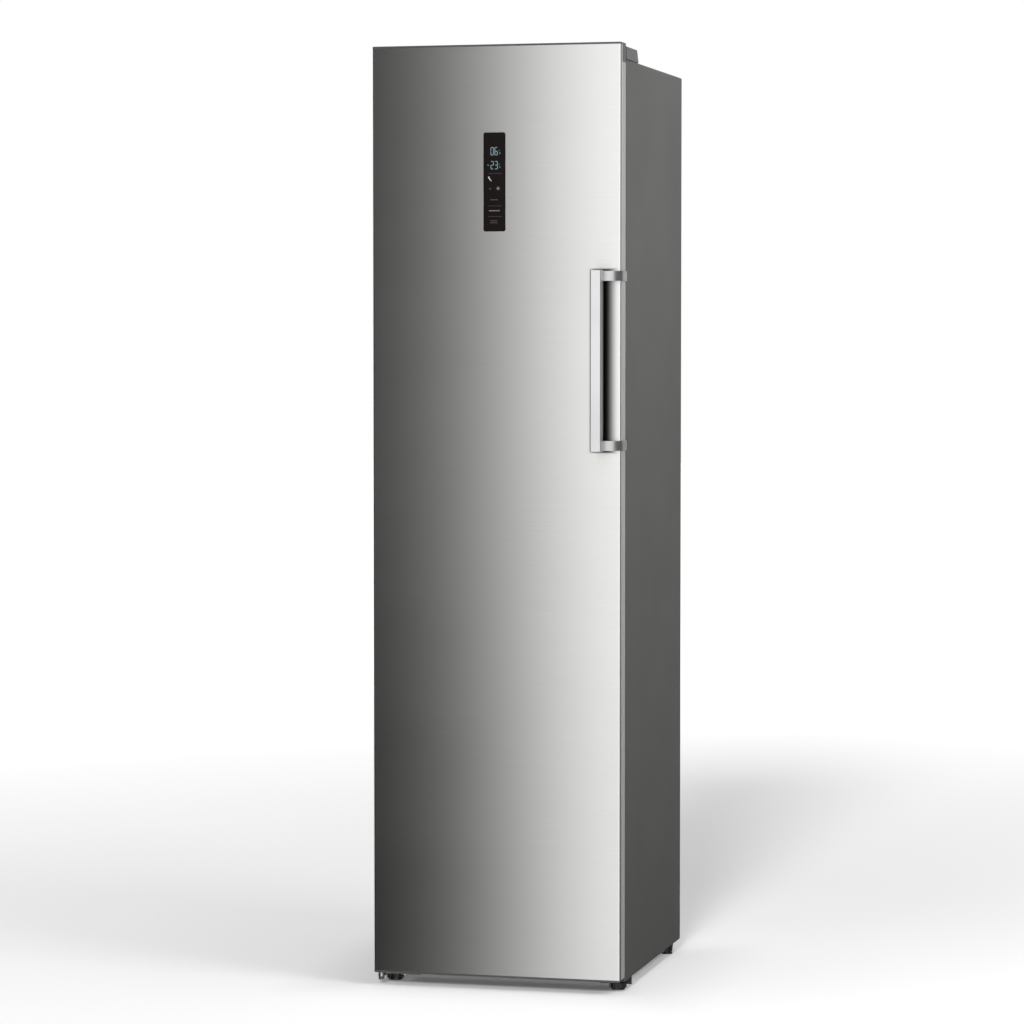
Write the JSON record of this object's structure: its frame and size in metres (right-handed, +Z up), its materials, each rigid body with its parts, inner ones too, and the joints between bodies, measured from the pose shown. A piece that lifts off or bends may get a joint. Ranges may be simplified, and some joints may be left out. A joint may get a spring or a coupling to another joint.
{
  "type": "upright freezer",
  "caption": "Tall free-standing freezer with one steel door, bar handle, vertical glass display, glass shelves and clear slide-out drawers.",
  "frame": {"origin": "middle of the bounding box at floor level, under the feet", "axes": "+Z up along the tallest side, +X to the viewer's right when facing the door, -Y to the front where the handle stands out"},
  "size_m": [0.5028, 0.617, 1.85],
  "materials": {
    "back_panel": "matt galvanised sheet",
    "base_plate": "galvanised sheet",
    "foam": "rigid foam",
    "compressor": "semi gloss paint",
    "compressor_bolts": "zinc plated",
    "compressor_grommets": "matt",
    "condenser_coils": "matt paint on copper tube",
    "control_board": "circuit board",
    "defrost_heater": "heated steel tube",
    "display_board": "circuit board",
    "display_glass": "gloss, black backed",
    "display_housing": "moulded",
    "door_bottom_cap": "moulded",
    "door_gasket": "soft, matt",
    "door_liner": "thermoformed, satin",
    "door_sensor": "moulded",
    "door_side_trims": "satin silver paint",
    "door_skin": "brushed across",
    "door_top_cap": "moulded",
    "drain_tube": "moulded",
    "drawers": "clear, moulded",
    "drip_tray": "moulded",
    "evaporator": "bare fins and tube",
    "evaporator_cover": "moulded, satin",
    "fan_motor": "moulded",
    "fan_wheel": "moulded",
    "filter_dryer": "bare copper",
    "front_foot_left": "moulded",
    "front_foot_right": "moulded",
    "front_rail": "satin paint",
    "glass_shelves": "clear, ground edges",
    "handle_bar": "satin anodised",
    "handle_bracket_lower": "satin chrome",
    "handle_bracket_upper": "satin chrome",
    "handle_screws": "zinc plated",
    "hinge_bushes": "moulded",
    "hinge_screws": "zinc plated",
    "inner_liner": "moulded, satin",
    "lamp_board": "circuit board",
    "lamp_lens": "frosted clear",
    "lower_hinge": "zinc plated",
    "machine_cover": "galvanised, slotted",
    "machine_panel": "matt galvanised sheet",
    "mains_gland": "moulded",
    "outer_shell": "satin paint",
    "rear_brackets": "satin paint",
    "rear_foot_left": "moulded",
    "rear_foot_right": "moulded",
    "refrigerant_pipes": "bare copper",
    "sensor_magnet": "ferrite",
    "terminal_cover": "moulded",
    "top_cover": "moulded, fine grain",
    "upper_hinge": "zinc plated"
  },
  "bodies": {
    "cabinet": {"back_panel": "back_panel", "base_plate": "base_plate", "cabinet_insulation": "foam", "compressor": "compressor", "compressor_bolts": "compressor_bolts", "compressor_grommets": "compressor_grommets", "condenser_coils": "condenser_coils", "control_board": "control_board", "defrost_heater": "defrost_heater", "door_sensor": "door_sensor", "drain_tube": "drain_tube", "drip_tray": "drip_tray", "evaporator": "evaporator", "evaporator_cover": "evaporator_cover", "fan_motor": "fan_motor", "filter_dryer": "filter_dryer", "front_rail": "front_rail", "glass_shelves": "glass_shelves", "hinge_screws": "hinge_screws", "inner_liner": "inner_liner", "lamp_board": "lamp_board", "lamp_lens": "lamp_lens", "lower_hinge": "lower_hinge", "machine_cover": "machine_cover", "machine_panel": "machine_panel", "mains_gland": "mains_gland", "outer_shell": "outer_shell", "rear_brackets": "rear_brackets", "refrigerant_pipes": "refrigerant_pipes", "terminal_cover": "terminal_cover", "top_cover": "top_cover", "upper_hinge": "upper_hinge"},
    "door": {"door_skin": "door_skin", "door_side_trims": "door_side_trims", "door_top_cap": "door_top_cap", "sensor_magnet": "sensor_magnet", "door_bottom_cap": "door_bottom_cap", "hinge_bushes": "hinge_bushes", "door_liner": "door_liner", "door_insulation": "foam", "door_gasket": "door_gasket", "display_glass": "display_glass", "display_housing": "display_housing", "display_board": "display_board", "handle_bar": "handle_bar", "handle_bracket_lower": "handle_bracket_lower", "handle_bracket_upper": "handle_bracket_upper", "handle_screws": "handle_screws"},
    "fan": {"fan_wheel": "fan_wheel"},
    "drawer_1": {"drawer_1": "drawers"},
    "drawer_2": {"drawer_2": "drawers"},
    "drawer_3": {"drawer_3": "drawers"},
    "drawer_4": {"drawer_4": "drawers"},
    "drawer_5": {"drawer_5": "drawers"},
    "drawer_6": {"drawer_6": "drawers"},
    "drawer_7": {"drawer_7": "drawers"},
    "front_foot_left": {"front_foot_left": "front_foot_left"},
    "front_foot_right": {"front_foot_right": "front_foot_right"},
    "rear_foot_left": {"rear_foot_left": "rear_foot_left"},
    "rear_foot_right": {"rear_foot_right": "rear_foot_right"}
  },
  "joints": [
    {"name": "door_hinge", "type": "hinge", "parent": "cabinet", "child": "door", "pos_m": [-0.24, -0.2455, 0.9], "axis": [0, 0, -1], "range_deg": [0, 110]},
    {"name": "drawer_slide_1", "type": "slide", "parent": "cabinet", "child": "drawer_1", "axis": [0, -1, 0], "range_m": [0, 0.13]},
    {"name": "drawer_slide_2", "type": "slide", "parent": "cabinet", "child": "drawer_2", "axis": [0, -1, 0], "range_m": [0, 0.13]},
    {"name": "drawer_slide_3", "type": "slide", "parent": "cabinet", "child": "drawer_3", "axis": [0, -1, 0], "range_m": [0, 0.13]},
    {"name": "drawer_slide_4", "type": "slide", "parent": "cabinet", "child": "drawer_4", "axis": [0, -1, 0], "range_m": [0, 0.13]},
    {"name": "drawer_slide_5", "type": "slide", "parent": "cabinet", "child": "drawer_5", "axis": [0, -1, 0], "range_m": [0, 0.13]},
    {"name": "drawer_slide_6", "type": "slide", "parent": "cabinet", "child": "drawer_6", "axis": [0, -1, 0], "range_m": [0, 0.13]},
    {"name": "drawer_slide_7", "type": "slide", "parent": "cabinet", "child": "drawer_7", "axis": [0, -1, 0], "range_m": [0, 0.13]},
    {"name": "fan_spin", "type": "hinge", "parent": "cabinet", "child": "fan", "pos_m": [0, 0.2, 0.592], "axis": [0, 1, 0], "continuous": true},
    {"name": "front_foot_left_turn", "type": "hinge", "parent": "cabinet", "child": "front_foot_left", "pos_m": [-0.228, -0.187, 0.02], "axis": [0, 0, 1], "continuous": true},
    {"name": "front_foot_right_turn", "type": "hinge", "parent": "cabinet", "child": "front_foot_right", "pos_m": [0.228, -0.187, 0.02], "axis": [0, 0, 1], "continuous": true},
    {"name": "rear_foot_left_turn", "type": "hinge", "parent": "cabinet", "child": "rear_foot_left", "pos_m": [-0.235, 0.2465, 0.02], "axis": [0, 0, 1], "continuous": true},
    {"name": "rear_foot_right_turn", "type": "hinge", "parent": "cabinet", "child": "rear_foot_right", "pos_m": [0.235, 0.2465, 0.02], "axis": [0, 0, 1], "continuous": true}
  ],
  "couplings": [
    {"joint": "drawer_slide_1", "follows": "door_hinge", "m_per_rad": 0.067713},
    {"joint": "drawer_slide_2", "follows": "door_hinge", "m_per_rad": 0.067713},
    {"joint": "drawer_slide_3", "follows": "door_hinge", "m_per_rad": 0.067713},
    {"joint": "drawer_slide_4", "follows": "door_hinge", "m_per_rad": 0.067713},
    {"joint": "drawer_slide_5", "follows": "door_hinge", "m_per_rad": 0.067713},
    {"joint": "drawer_slide_6", "follows": "door_hinge", "m_per_rad": 0.067713},
    {"joint": "drawer_slide_7", "follows": "door_hinge", "m_per_rad": 0.067713}
  ]
}
